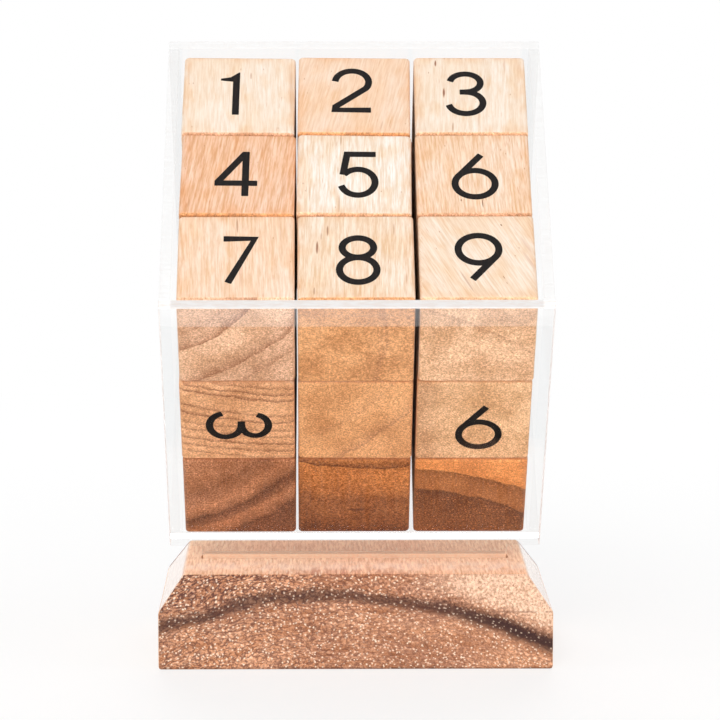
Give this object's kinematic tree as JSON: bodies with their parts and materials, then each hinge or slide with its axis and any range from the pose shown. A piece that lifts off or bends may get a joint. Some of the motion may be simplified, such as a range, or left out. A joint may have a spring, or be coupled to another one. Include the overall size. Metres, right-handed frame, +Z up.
{
  "type": "number cube puzzle",
  "caption": "Stack of loose wooden number cubes in a clear open tray that stands tilted towards the player in a slotted, bevelled wooden plinth.",
  "frame": {"origin": "centre of the plinth's underside", "axes": "+Z up, -Y to the front where the tray's open face leans to, +X to the right"},
  "size_m": [0.105, 0.1369, 0.1648],
  "materials": {
    "pale_wood": "sanded, unvarnished, printed numbers",
    "tan_wood": "sanded, unvarnished, printed numbers",
    "brown_wood": "sanded, unvarnished",
    "plinth_wood": "oiled open-pored wood",
    "clear_acrylic": "clear, polished faces and edges"
  },
  "bodies": {
    "plinth": {"plinth": "plinth_wood"},
    "tray": {"front_panel": "clear_acrylic", "back_panel": "clear_acrylic", "left_panel": "clear_acrylic", "right_panel": "clear_acrylic", "floor_panel": "clear_acrylic"},
    "cube_bottom_front_left": {"cube_bottom_front_left": "brown_wood"},
    "cube_middle_front_left": {"cube_middle_front_left": "tan_wood"},
    "cube_top_front_left": {"cube_top_front_left": "pale_wood"},
    "cube_bottom_front_mid": {"cube_bottom_front_mid": "brown_wood"},
    "cube_middle_front_mid": {"cube_middle_front_mid": "tan_wood"},
    "cube_top_front_mid": {"cube_top_front_mid": "pale_wood"},
    "cube_bottom_front_right": {"cube_bottom_front_right": "brown_wood"},
    "cube_middle_front_right": {"cube_middle_front_right": "tan_wood"},
    "cube_top_front_right": {"cube_top_front_right": "pale_wood"},
    "cube_bottom_centre_left": {"cube_bottom_centre_left": "brown_wood"},
    "cube_middle_centre_left": {"cube_middle_centre_left": "tan_wood"},
    "cube_top_centre_left": {"cube_top_centre_left": "pale_wood"},
    "cube_bottom_centre_mid": {"cube_bottom_centre_mid": "brown_wood"},
    "cube_middle_centre_mid": {"cube_middle_centre_mid": "tan_wood"},
    "cube_top_centre_mid": {"cube_top_centre_mid": "pale_wood"},
    "cube_bottom_centre_right": {"cube_bottom_centre_right": "brown_wood"},
    "cube_middle_centre_right": {"cube_middle_centre_right": "tan_wood"},
    "cube_top_centre_right": {"cube_top_centre_right": "pale_wood"},
    "cube_bottom_back_left": {"cube_bottom_back_left": "brown_wood"},
    "cube_middle_back_left": {"cube_middle_back_left": "tan_wood"},
    "cube_top_back_left": {"cube_top_back_left": "pale_wood"},
    "cube_bottom_back_mid": {"cube_bottom_back_mid": "brown_wood"},
    "cube_middle_back_mid": {"cube_middle_back_mid": "tan_wood"},
    "cube_top_back_mid": {"cube_top_back_mid": "pale_wood"},
    "cube_bottom_back_right": {"cube_bottom_back_right": "brown_wood"},
    "cube_middle_back_right": {"cube_middle_back_right": "tan_wood"},
    "cube_top_back_right": {"cube_top_back_right": "pale_wood"}
  },
  "joints": [
    {"name": "tray_lift", "type": "slide", "parent": "plinth", "child": "tray", "axis": [0, -0.6428, 0.766], "range_m": [0, 0.018]},
    {"name": "bottom_front_left_lift", "type": "slide", "parent": "tray", "child": "cube_bottom_front_left", "axis": [0, -0.6428, 0.766], "range_m": [0, 0.0936]},
    {"name": "middle_front_left_lift", "type": "slide", "parent": "cube_bottom_front_left", "child": "cube_middle_front_left", "axis": [0, -0.6428, 0.766], "range_m": [0, 0.0633]},
    {"name": "top_front_left_lift", "type": "slide", "parent": "cube_middle_front_left", "child": "cube_top_front_left", "axis": [0, -0.6428, 0.766], "range_m": [0, 0.033]},
    {"name": "bottom_front_mid_lift", "type": "slide", "parent": "tray", "child": "cube_bottom_front_mid", "axis": [0, -0.6428, 0.766], "range_m": [0, 0.0936]},
    {"name": "middle_front_mid_lift", "type": "slide", "parent": "cube_bottom_front_mid", "child": "cube_middle_front_mid", "axis": [0, -0.6428, 0.766], "range_m": [0, 0.0633]},
    {"name": "top_front_mid_lift", "type": "slide", "parent": "cube_middle_front_mid", "child": "cube_top_front_mid", "axis": [0, -0.6428, 0.766], "range_m": [0, 0.033]},
    {"name": "bottom_front_right_lift", "type": "slide", "parent": "tray", "child": "cube_bottom_front_right", "axis": [0, -0.6428, 0.766], "range_m": [0, 0.0936]},
    {"name": "middle_front_right_lift", "type": "slide", "parent": "cube_bottom_front_right", "child": "cube_middle_front_right", "axis": [0, -0.6428, 0.766], "range_m": [0, 0.0633]},
    {"name": "top_front_right_lift", "type": "slide", "parent": "cube_middle_front_right", "child": "cube_top_front_right", "axis": [0, -0.6428, 0.766], "range_m": [0, 0.033]},
    {"name": "bottom_centre_left_lift", "type": "slide", "parent": "tray", "child": "cube_bottom_centre_left", "axis": [0, -0.6428, 0.766], "range_m": [0, 0.0936]},
    {"name": "middle_centre_left_lift", "type": "slide", "parent": "cube_bottom_centre_left", "child": "cube_middle_centre_left", "axis": [0, -0.6428, 0.766], "range_m": [0, 0.0633]},
    {"name": "top_centre_left_lift", "type": "slide", "parent": "cube_middle_centre_left", "child": "cube_top_centre_left", "axis": [0, -0.6428, 0.766], "range_m": [0, 0.033]},
    {"name": "bottom_centre_mid_lift", "type": "slide", "parent": "tray", "child": "cube_bottom_centre_mid", "axis": [0, -0.6428, 0.766], "range_m": [0, 0.0936]},
    {"name": "middle_centre_mid_lift", "type": "slide", "parent": "cube_bottom_centre_mid", "child": "cube_middle_centre_mid", "axis": [0, -0.6428, 0.766], "range_m": [0, 0.0633]},
    {"name": "top_centre_mid_lift", "type": "slide", "parent": "cube_middle_centre_mid", "child": "cube_top_centre_mid", "axis": [0, -0.6428, 0.766], "range_m": [0, 0.033]},
    {"name": "bottom_centre_right_lift", "type": "slide", "parent": "tray", "child": "cube_bottom_centre_right", "axis": [0, -0.6428, 0.766], "range_m": [0, 0.0936]},
    {"name": "middle_centre_right_lift", "type": "slide", "parent": "cube_bottom_centre_right", "child": "cube_middle_centre_right", "axis": [0, -0.6428, 0.766], "range_m": [0, 0.0633]},
    {"name": "top_centre_right_lift", "type": "slide", "parent": "cube_middle_centre_right", "child": "cube_top_centre_right", "axis": [0, -0.6428, 0.766], "range_m": [0, 0.033]},
    {"name": "bottom_back_left_lift", "type": "slide", "parent": "tray", "child": "cube_bottom_back_left", "axis": [0, -0.6428, 0.766], "range_m": [0, 0.0936]},
    {"name": "middle_back_left_lift", "type": "slide", "parent": "cube_bottom_back_left", "child": "cube_middle_back_left", "axis": [0, -0.6428, 0.766], "range_m": [0, 0.0633]},
    {"name": "top_back_left_lift", "type": "slide", "parent": "cube_middle_back_left", "child": "cube_top_back_left", "axis": [0, -0.6428, 0.766], "range_m": [0, 0.033]},
    {"name": "bottom_back_mid_lift", "type": "slide", "parent": "tray", "child": "cube_bottom_back_mid", "axis": [0, -0.6428, 0.766], "range_m": [0, 0.0936]},
    {"name": "middle_back_mid_lift", "type": "slide", "parent": "cube_bottom_back_mid", "child": "cube_middle_back_mid", "axis": [0, -0.6428, 0.766], "range_m": [0, 0.0633]},
    {"name": "top_back_mid_lift", "type": "slide", "parent": "cube_middle_back_mid", "child": "cube_top_back_mid", "axis": [0, -0.6428, 0.766], "range_m": [0, 0.033]},
    {"name": "bottom_back_right_lift", "type": "slide", "parent": "tray", "child": "cube_bottom_back_right", "axis": [0, -0.6428, 0.766], "range_m": [0, 0.0936]},
    {"name": "middle_back_right_lift", "type": "slide", "parent": "cube_bottom_back_right", "child": "cube_middle_back_right", "axis": [0, -0.6428, 0.766], "range_m": [0, 0.0633]},
    {"name": "top_back_right_lift", "type": "slide", "parent": "cube_middle_back_right", "child": "cube_top_back_right", "axis": [0, -0.6428, 0.766], "range_m": [0, 0.033]}
  ]
}
